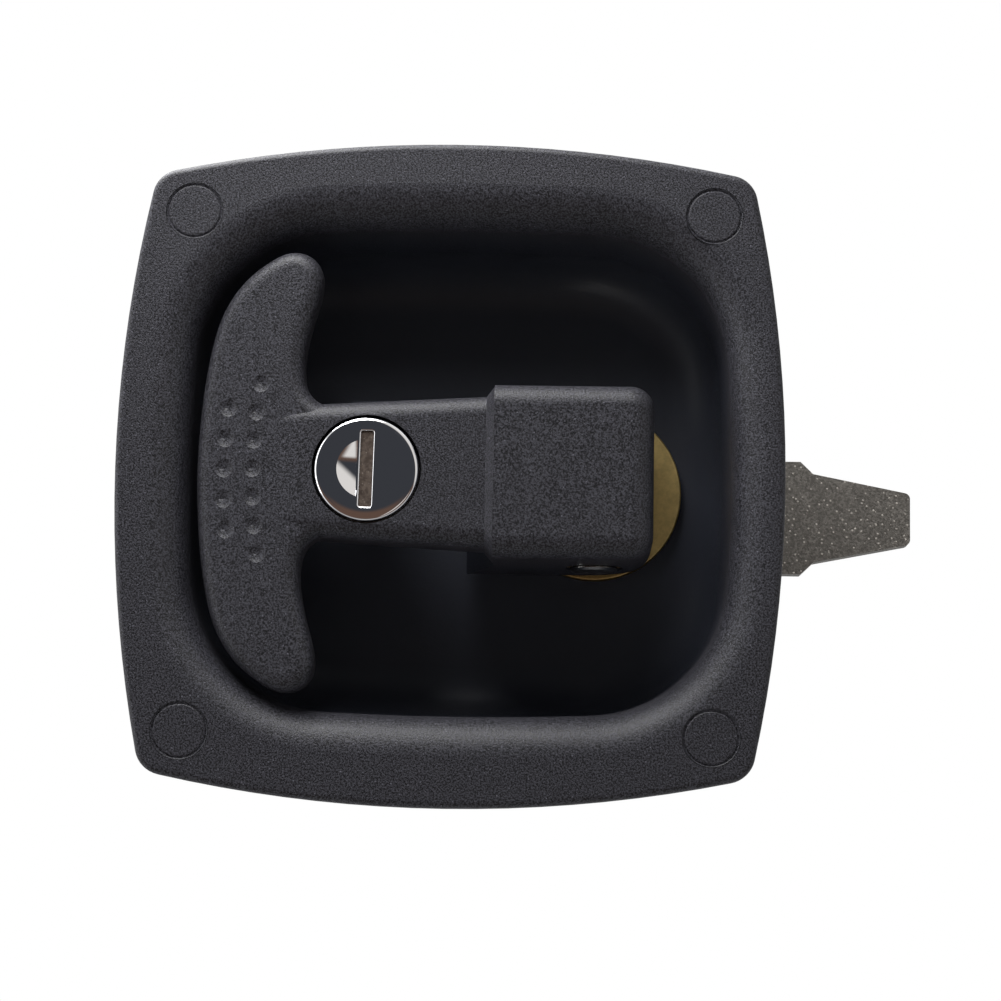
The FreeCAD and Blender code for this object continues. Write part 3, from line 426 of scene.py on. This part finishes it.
def tumbled_steel():
    """The pawl's plate: grainy, pitted and speckled under a thin plating."""
    s = finish_settings()
    g = material_graph("tumbled_steel")
    where = g.place()
    grain = g.noise(where, 0.45 * MM, detail=3.0, roughness=0.6)
    patches = g.noise(where, 3 * MM, detail=3.0)
    speck = g.flecks(where, 1.1 * MM, reach=0.24, edge=0.16)
    tone = g.shade(g.ramp(patches, *CLOUDY), s.pawl_colour, 0.85, 1.1)
    grained = g.mix(g.ramp(grain, 0.36, 0.66), rgba(s.pawl_colour, 0.6), tone)
    return g.surface(Base_Color=g.mix(speck * 0.7, grained, rgba(s.pawl_colour, 3.2)),
                     Metallic=0.75, Roughness=0.4 + grain * 0.2,
                     Normal=g.bump(grain + speck * 0.4, 0.7, 0.12 * MM))


def polished_steel():
    """The lock face: a mirror with faint hand marks."""
    s = finish_settings()
    g = material_graph("polished_steel")
    haze = g.noise(g.place(), 3 * MM, detail=3.0)
    return g.surface(Base_Color=rgba(s.polish_colour), Metallic=1.0, Roughness=0.03 + haze * 0.05)


def nickel_silver():
    """The dull, faintly pitted shutter behind the key slot."""
    g = material_graph("nickel_silver")
    where = g.place()
    cloud = g.noise(where, 0.7 * MM, detail=4.0, roughness=0.6)
    speck = g.flecks(where, 0.7 * MM, reach=0.16, edge=0.1)
    worn = g.mix(g.ramp(cloud, 0.35, 0.65), (0.1, 0.078, 0.066, 1.0), (0.18, 0.145, 0.122, 1.0))
    return g.surface(Base_Color=g.mix(speck * 0.6, worn, (0.5, 0.44, 0.4, 1.0)),
                     Metallic=0.9, Roughness=0.42 + cloud * 0.2,
                     Normal=g.bump(cloud, 0.3, 0.06 * MM))


def black_rubber():
    """Matt rubber of the gasket and the seal."""
    s = finish_settings()
    g = material_graph("black_rubber")
    grain = g.noise(g.place(), 0.5 * MM)
    return g.surface(Base_Color=g.shade(grain, s.rubber_colour, 0.8, 1.5),
                     Roughness=0.72 + grain * 0.15, Normal=g.bump(grain, 0.3, 0.06 * MM))


def dark_spring():
    """Oiled spring steel."""
    g = material_graph("dark_spring")
    cloud = g.noise(g.place(), 2 * MM, detail=3.0)
    return g.surface(Base_Color=g.mix(cloud, (0.1, 0.1, 0.105, 1.0), (0.24, 0.24, 0.25, 1.0)),
                     Metallic=0.95, Roughness=0.28 + cloud * 0.15,
                     Normal=g.bump(cloud, 0.2, 0.03 * MM))


FINISHES = {
    "black_powder_coat": powder_coat,
    "stud_steel": powder_coat,
    "gasket_rubber": black_rubber,
    "brass": turned_brass,
    "plated_steel": plated_steel,
    "pawl_steel": tumbled_steel,
    "lock_zinc": lambda: plated_steel("lock_zinc", 0.8, 0.32),
    "spring_steel": dark_spring,
    "polished_steel": polished_steel,
    "nickel_silver": nickel_silver,
}
PIECE_FINISHES = {"pivot_pin": lambda: plated_steel("ground_steel", 1.15, 0.02)}
made = {}


def finish(slot):
    """The material of a slot, made when it is first asked for."""
    if slot not in made:
        made[slot] = FINISHES[slot]()
    return made[slot]


def slot_of(node):
    for entry in frame["record"]["subparts"]:
        if entry["node"] == node:
            return entry["material_slot"]
    raise ValueError("no material slot for " + node)


def dress(piece, material):
    piece.data.materials.clear()
    piece.data.materials.append(material)


def piece_from(bm, name, body, slot):
    """Turns a bmesh into a finished piece that rides on a CAD body, if one is given."""
    bmesh.ops.recalc_face_normals(bm, faces=bm.faces)
    mesh = bpy.data.meshes.new(name)
    bm.to_mesh(mesh)
    bm.free()
    mesh.shade_smooth()
    mesh.set_sharp_from_angle(angle=SMOOTH_ANGLE)
    piece = bpy.data.objects.new(name, mesh)
    bpy.context.scene.collection.objects.link(piece)
    dress(piece, finish(slot))
    if body:
        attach(piece, body)
    return piece


def add_rings(bm, rings):
    """Skins a list of rings, each with as many points as the next, and closes both ends."""
    rows = [[bm.verts.new(point) for point in ring] for ring in rings]
    count = len(rows[0])
    for row, following in zip(rows, rows[1:]):
        for i in range(count):
            k = (i + 1) % count
            bm.faces.new((row[i], row[k], following[k], following[i]))
    bm.faces.new(rows[0])
    bm.faces.new(reversed(rows[-1]))


def turned(bm, profile, x, z, segments):
    """A solid turned about an axis along Y, from a profile of (radius, y) points."""
    angles = [2 * math.pi * i / segments for i in range(segments)]
    add_rings(bm, [[(x + radius * math.cos(a), y, z + radius * math.sin(a)) for a in angles]
                   for radius, y in profile])


def threaded(bm, radius, pitch, start, end, x, z, thread, half_flat=None):
    """A threaded bar along Y whose crest stays inside radius; half_flat planes two sides."""
    depth = pitch * thread.depth_share
    count = max(2, round((end - start) / pitch * thread.steps))
    rings = []
    for j in range(count + 1):
        y = start + (end - start) * j / count
        chamfer = max(0.0, depth * 1.2 - (end - y))
        ring = []
        for i in range(thread.segments):
            turn = i / thread.segments
            phase = (y / pitch - turn) % 1.0
            crest = min(1.0, max(0.0, 2 * abs(2 * phase - 1) - 0.5))
            r = min(radius - depth * (1 - crest), radius - chamfer)
            px, pz = r * math.cos(2 * math.pi * turn), r * math.sin(2 * math.pi * turn)
            if half_flat is not None:
                pz = max(-half_flat, min(half_flat, pz))
            ring.append((x + px, y, z + pz))
        rings.append(ring)
    add_rings(bm, rings)


def four_corners(node):
    """The centres of the four like solids of a node that stand at its box's corners."""
    low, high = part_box(node)
    inset = head_radius(node)
    return [(x, z) for x in (low.x + inset, high.x - inset)
            for z in (low.z + inset, high.z - inset)]


def head_radius(node):
    """The radius of the round head in the lower left corner of a node."""
    low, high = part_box(node)
    middle = (low + high) / 2
    corner = [v.co.x for v in frame["nodes"][node].data.vertices
              if v.co.x < middle.x and v.co.z < middle.z]
    return (max(corner) - min(corner)) / 2


class LATCH_OT_studs(Operator):
    """Makes the four pressed studs with the grooves round their heads and rolled threads"""
    bl_idname = "latch.studs"
    bl_label = "Threaded studs"

    def execute(self, context):
        s = context.scene.latch_stud
        thread = context.scene.latch_thread
        low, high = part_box("mounting_studs")
        radius = head_radius("mounting_studs")
        face, seat = low.y, low.y + s.head_height
        skin = seat + s.neck_height
        head = [(HEAD_CENTRE_R, face), (radius - s.groove_width - GROOVE_MARGIN, face)]
        for step in range(GROOVE_STEPS + 1):
            turn = 2 * math.pi * step / GROOVE_STEPS
            head.append((radius - s.groove_width * (1 - step / GROOVE_STEPS),
                         face + s.groove_depth * (1 - math.cos(turn)) / 2))
        head += [(radius, seat), (s.neck_radius, seat), (s.neck_radius, skin),
                 (s.shank_radius * CORE_SHARE, skin)]
        bm = bmesh.new()
        for x, z in four_corners("mounting_studs"):
            turned(bm, head, x, z, HEAD_SEGMENTS)
            threaded(bm, s.shank_radius, thread.stud_pitch, skin, high.y, x, z, thread)
        studs = piece_from(bm, "threaded_studs", "housing", "stud_steel")
        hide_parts("mounting_studs")
        return {"FINISHED"}


class LATCH_OT_spindle(Operator):
    """Makes the spindle with a real thread on its flatted tail"""
    bl_idname = "latch.spindle"
    bl_label = "Threaded spindle"

    def execute(self, context):
        thread = context.scene.latch_thread
        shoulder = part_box("stop_plate")[0].y
        low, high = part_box("spindle")
        x = (low.x + high.x) / 2
        bm = bmesh.new()
        bm.from_mesh(frame["nodes"]["spindle"].data)
        tail = [v.co for v in bm.verts if v.co.y > shoulder + TAIL_MARGIN]
        radius = max(c.x for c in tail) - x
        half_flat = max(c.z for c in tail)
        past = [v for v in bm.verts if v.co.y > shoulder + SEAM_MARGIN]
        bmesh.ops.delete(bm, geom=past, context="VERTS")
        threaded(bm, radius, thread.spindle_pitch, shoulder, high.y, x, 0.0, thread, half_flat)
        spindle = piece_from(bm, "threaded_spindle", "spindle_assembly", "plated_steel")
        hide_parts("spindle")
        return {"FINISHED"}


def rounded_rectangle(half_w, half_h, corner, steps=6):
    """The points of a rounded rectangle, counterclockwise."""
    points = []
    for quarter, (sx, sy) in enumerate(((1, 1), (-1, 1), (-1, -1), (1, -1))):
        for step in range(steps + 1):
            a = math.pi / 2 * (quarter + step / steps)
            points.append((sx * (half_w - corner) + corner * math.cos(a),
                           sy * (half_h - corner) + corner * math.sin(a)))
    return points


def cut(piece, bm):
    """Takes a closed shape away from a piece's mesh."""
    bmesh.ops.recalc_face_normals(bm, faces=bm.faces)
    mesh = bpy.data.meshes.new("cutter")
    bm.to_mesh(mesh)
    bm.free()
    cutter = bpy.data.objects.new("cutter", mesh)
    bpy.context.scene.collection.objects.link(cutter)
    boolean = piece.modifiers.new("cut", "BOOLEAN")
    boolean.operation = "DIFFERENCE"
    boolean.solver = "EXACT"
    boolean.object = cutter
    bpy.context.view_layer.update()
    whole = piece.evaluated_get(bpy.context.evaluated_depsgraph_get())
    piece_mesh = bpy.data.meshes.new_from_object(whole)
    piece.modifiers.clear()
    piece.data = piece_mesh
    bpy.data.objects.remove(cutter)
    bpy.data.meshes.remove(mesh)


def quarter_turn(steps, first=0):
    """Angles from 0 to a quarter turn, from a given step on."""
    return [math.pi / 2 * step / steps for step in range(first, steps + 1)]


def face_profile(s, radius, face, back):
    """The (radius, y) points of the lock face: flat middle, crown, round rim and straight wall."""
    edge = radius - s.rim_radius
    crown_start = radius * s.crown_from
    points = [(FACE_CENTRE_R, face)]
    for step in range(CROWN_STEPS + 1):
        share = step / CROWN_STEPS
        points.append((crown_start + (edge - crown_start) * share, face + s.crown * share ** 2))
    for a in quarter_turn(RIM_STEPS, first=1):
        points.append((edge + s.rim_radius * math.sin(a),
                       face + s.crown + s.rim_radius * (1 - math.cos(a))))
    return points + [(radius, back), (FACE_CENTRE_R, back)]


def slot_cutter(s, half_w, half_h, face, back, centre, lean):
    """The leaning key slot, which widens round its mouth by a rounded bevel."""
    levels = [(0.0, back + CUT_PAST)]
    levels += [(s.slot_bevel * (1 - math.cos(a)), face + s.slot_bevel * (1 - math.sin(a)))
               for a in quarter_turn(BEVEL_STEPS)]
    levels.append((s.slot_bevel, face - CUT_PAST))
    rings = []
    for grow, y in levels:
        outline = rounded_rectangle(half_w + grow, half_h + grow, s.slot_corner + grow)
        rings.append([centre + lean @ Vector((px, y, pz)) for px, pz in outline])
    bm = bmesh.new()
    add_rings(bm, rings)
    return bm


def scoop_cutter(s, edge_x, face, centre, lean):
    """A ball that dips into the face, kept only on the slot's left."""
    ball_r = (s.scoop_radius ** 2 + s.scoop_depth ** 2) / (2 * s.scoop_depth)
    across, along = SCOOP_SEGMENTS
    bm = bmesh.new()
    bmesh.ops.create_uvsphere(bm, u_segments=across, v_segments=along, radius=ball_r,
                              matrix=Matrix.Translation((0, face - ball_r + s.scoop_depth, 0)) @
                              Matrix.Rotation(math.radians(90), 4, "X"))
    bmesh.ops.bisect_plane(bm, geom=bm.verts[:] + bm.edges[:] + bm.faces[:],
                           plane_co=(edge_x, 0, 0), plane_no=(1, 0, 0), clear_outer=True)
    bmesh.ops.holes_fill(bm, edges=[e for e in bm.edges if e.is_boundary])
    bmesh.ops.transform(bm, matrix=Matrix.Translation(centre) @ lean.to_4x4(), verts=bm.verts)
    return bm


class LATCH_OT_face(Operator):
    """Makes the polished lock face with its crown, bevelled key slot and smooth scoop"""
    bl_idname = "latch.face"
    bl_label = "Polished lock face"

    def execute(self, context):
        s = context.scene.latch_face
        low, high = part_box("lock_face_cap")
        slot_low, slot_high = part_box("keyway_shutter")
        slot_half_x = (slot_high.x - slot_low.x) / 2
        slot_half_z = (slot_high.z - slot_low.z) / 2
        x, z = (low.x + high.x) / 2, (low.z + high.z) / 2
        radius = (high.x - low.x) / 2
        face, back = low.y, slot_high.y + FACE_OVERLAP
        bm = bmesh.new()
        turned(bm, face_profile(s, radius, face, back), x, z, FACE_SEGMENTS)
        cap = piece_from(bm, "polished_face", "lock_core", "polished_steel")

        lean = Matrix.Rotation(s.slot_lean, 3, "Y")
        centre = Vector((x, 0, z))
        half_w = slot_half_x - slot_half_z * math.sin(s.slot_lean) + SLOT_SLACK
        half_h = slot_half_z + SLOT_SLACK
        cut(cap, slot_cutter(s, half_w, half_h, face, back, centre, lean))
        cut(cap, scoop_cutter(s, -half_w - SCOOP_INSET * s.slot_bevel, face, centre, lean))
        cap.data.shade_smooth()
        cap.data.set_sharp_from_angle(angle=FACE_SMOOTH_ANGLE)
        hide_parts("lock_face_cap")
        return {"FINISHED"}


class LATCH_OT_spring(Operator):
    """Winds the return spring with closed ends between boss and washer"""
    bl_idname = "latch.spring"
    bl_label = "Return spring"

    def execute(self, context):
        s = context.scene.latch_spring
        low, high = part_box("return_spring")
        x = (low.x + high.x) / 2
        radius = (high.x - low.x) / 2 - s.wire_radius
        start, end = low.y + s.wire_radius, high.y - s.wire_radius
        closed = CLOSED_PITCH * s.wire_radius * s.closed_turns
        free = end - start - 2 * closed
        turns = s.turns + 2 * s.closed_turns
        around = [2 * math.pi * k / WIRE_POINTS for k in range(WIRE_POINTS)]
        rings = []
        for i in range(round(turns * SPRING_POINTS) + 1):
            turn = i / SPRING_POINTS
            if turn < s.closed_turns:
                y = start + closed * turn / s.closed_turns
            elif turn > turns - s.closed_turns:
                y = end - closed * (turns - turn) / s.closed_turns
            else:
                y = start + closed + free * (turn - s.closed_turns) / s.turns
            angle = 2 * math.pi * turn
            out = Vector((math.cos(angle), 0, math.sin(angle)))
            centre = Vector((x, y, 0)) + out * radius
            rings.append([centre + s.wire_radius * (out * math.cos(a) + Vector((0, math.sin(a), 0)))
                          for a in around])
        bm = bmesh.new()
        add_rings(bm, rings)
        spring = piece_from(bm, "wound_spring", None, "spring_steel")
        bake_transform(spring)
        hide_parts("return_spring")
        return {"FINISHED"}


class LATCH_OT_finishes(Operator):
    """Gives every CAD piece its own procedural finish"""
    bl_idname = "latch.finishes"
    bl_label = "Finish the pieces"

    def execute(self, context):
        for name, piece in frame["nodes"].items():
            own = PIECE_FINISHES.get(name)
            dress(piece, own() if own else finish(slot_of(name)))
        return {"FINISHED"}


def photo_camera_matrix():
    """The photograph's viewpoint as a world matrix, from its tilt, shift and scale."""
    rx, ry, rz = (math.radians(angle) for angle in PHOTO_TILT)
    turn = (Matrix.Rotation(rz, 3, "Z") @ Matrix.Rotation(rx, 3, "X")
            @ Matrix.Rotation(ry, 3, "Y"))
    distance = PHOTO_FOCAL_PX / PHOTO_PX_PER_MM
    bench_eye = turn.transposed() @ Vector((-PHOTO_SHIFT[0], -PHOTO_SHIFT[1], distance))
    bench_eye.z += PHOTO_PLANE
    stand_up = Matrix.Rotation(math.radians(90), 3, "X")
    axes = (stand_up @ turn.transposed()).to_4x4()
    return Matrix.Translation(stand_up @ bench_eye * MM) @ axes


def softbox(name, place, size, watts):
    """A rectangular lamp that points at the latch's middle."""
    data = bpy.data.lights.new(name, "AREA")
    data.shape = "RECTANGLE"
    data.size, data.size_y = size
    data.energy = watts
    lamp = bpy.data.objects.new(name, data)
    lamp.location = place
    lamp.rotation_euler = (-Vector(place)).to_track_quat("-Z", "Y").to_euler()
    bpy.context.scene.collection.objects.link(lamp)


def seen_ray(g):
    """1 for rays from the camera, a gloss or glass, 0 for the light that falls on a surface."""
    camera, glossy, through = (g.node("ShaderNodeLightPath", out=name)
                               for name in ("Is Camera Ray", "Is Glossy Ray",
                                            "Is Transmission Ray"))
    return g.node("ShaderNodeMath", {"operation": "ADD", "use_clamp": True},
                  {0: camera + through, 1: glossy})


def backdrop_material():
    """White where it is seen, plain paper where it only catches and returns light."""
    g = material_graph("backdrop")
    glow = g.node("ShaderNodeEmission", {}, {"Color": WHITE, "Strength": 1.0})
    paper = g.node("ShaderNodeBsdfDiffuse", {}, {"Color": PAPER})
    return g.finish(g.node("ShaderNodeMixShader", {}, {0: seen_ray(g), 1: paper, 2: glow}))


def studio_world(s):
    """White all round where it is seen. Gloss also sees an unlit front over a warm floor, two white
    cards at the front right, and weaker surroundings below."""
    g = Graph(bpy.data.worlds.new("studio"), "ShaderNodeOutputWorld")
    direction = g.node("ShaderNodeTexCoord", out="Generated")
    right, up = g.axis(direction, "X"), g.axis(direction, "Z")
    down = 0 - up
    glossy = g.node("ShaderNodeLightPath", out="Is Glossy Ray")
    unlit = g.ramp(0 - g.axis(direction, "Y"), *s.dark_span) * glossy
    front = g.mix(g.ramp(down, *s.floor_span), rgba(s.dark_colour), rgba(s.floor_colour))
    upper = g.ramp(up + right * s.card_slope, *s.card_edge)
    lower = (g.ramp(down, *s.low_card_top) * g.ramp(right, *s.low_card_side)
             * (1 - g.ramp(right + down * s.low_card_slope, *s.low_card_end)))
    front = g.mix(upper + lower, front, rgba(s.card_colour))
    dim = g.ramp(down + right * s.dim_lean, *s.dim_span) * glossy * s.low_dim
    colour = g.mix(unlit, g.mix(dim, WHITE, BLACK), front)
    shown = g.node("ShaderNodeBackground", {}, {"Color": colour, "Strength": 1.0})
    sky = g.node("ShaderNodeBackground", {}, {"Color": WHITE, "Strength": s.world_strength})
    return g.finish(g.node("ShaderNodeMixShader", {}, {0: seen_ray(g), 1: sky, 2: shown}))


def photo_camera():
    data = bpy.data.cameras.new("photo_camera")
    data.sensor_width = SENSOR_MM
    data.lens = PHOTO_FOCAL_PX / PHOTO_SIZE * SENSOR_MM
    data.clip_start = CLIP_START
    camera = bpy.data.objects.new("photo_camera", data)
    camera.matrix_world = photo_camera_matrix()
    return camera


def backdrop(standoff):
    """A wide level sheet under the latch, which gloss doesn't see."""
    half, low = BACKDROP_HALF, CAD_BOX[0].z - standoff
    mesh = bpy.data.meshes.new("floor")
    corners = [(-half, -half, low), (half, -half, low), (half, half, low), (-half, half, low)]
    mesh.from_pydata(corners, [], [(0, 1, 2, 3)])
    mesh.materials.append(backdrop_material())
    floor = bpy.data.objects.new("floor", mesh)
    floor.visible_glossy = False
    return floor


class LATCH_OT_stage(Operator):
    """Sets up the camera of the photograph, the white backdrop, the lamps and the world"""
    bl_idname = "latch.stage"
    bl_label = "Set the stage"

    def execute(self, context):
        s = context.scene.latch_studio
        camera, floor = photo_camera(), backdrop(s.standoff)
        context.scene.collection.objects.link(camera)
        context.scene.collection.objects.link(floor)
        context.scene.camera = camera
        context.scene.view_settings.view_transform = "Standard"
        for name, place, size, power in SOFTBOXES:
            softbox(name, place, size, getattr(s, power))
        context.scene.world = studio_world(s)
        return {"FINISHED"}


class LATCH_PT_panel(Panel):
    """Lists the latch's settings and steps"""
    bl_idname = "LATCH_PT_panel"
    bl_label = "Flush latch"
    bl_space_type = "VIEW_3D"
    bl_region_type = "UI"
    bl_category = "Latch"

    def draw(self, context):
        for group in (getattr(context.scene, name) for name in SETTINGS):
            for name in group.bl_rna.properties.keys():
                if name not in ("rna_type", "name"):
                    self.layout.prop(group, name)
        for step in STEPS:
            self.layout.operator(step.bl_idname)


STEPS = (LATCH_OT_stage, LATCH_OT_finishes, LATCH_OT_studs, LATCH_OT_spindle, LATCH_OT_face,
         LATCH_OT_spring)
SETTINGS = {
    "latch_finish": FinishSettings,
    "latch_studio": StudioSettings,
    "latch_thread": ThreadSettings,
    "latch_stud": StudSettings,
    "latch_face": FaceSettings,
    "latch_spring": SpringSettings,
}
CLASSES = tuple(SETTINGS.values()) + STEPS + (LATCH_PT_panel,)


def register():
    for each in CLASSES:
        bpy.utils.register_class(each)
    for name, group in SETTINGS.items():
        setattr(bpy.types.Scene, name, PointerProperty(type=group))


def unregister():
    for name in SETTINGS:
        delattr(bpy.types.Scene, name)
    for each in reversed(CLASSES):
        bpy.utils.unregister_class(each)


def main():
    register()
    bpy.ops.latch.stage()
    bpy.ops.latch.finishes()
    bpy.ops.latch.studs()
    bpy.ops.latch.spindle()
    bpy.ops.latch.face()
    bpy.ops.latch.spring()


if __name__ == "__main__":
    main()
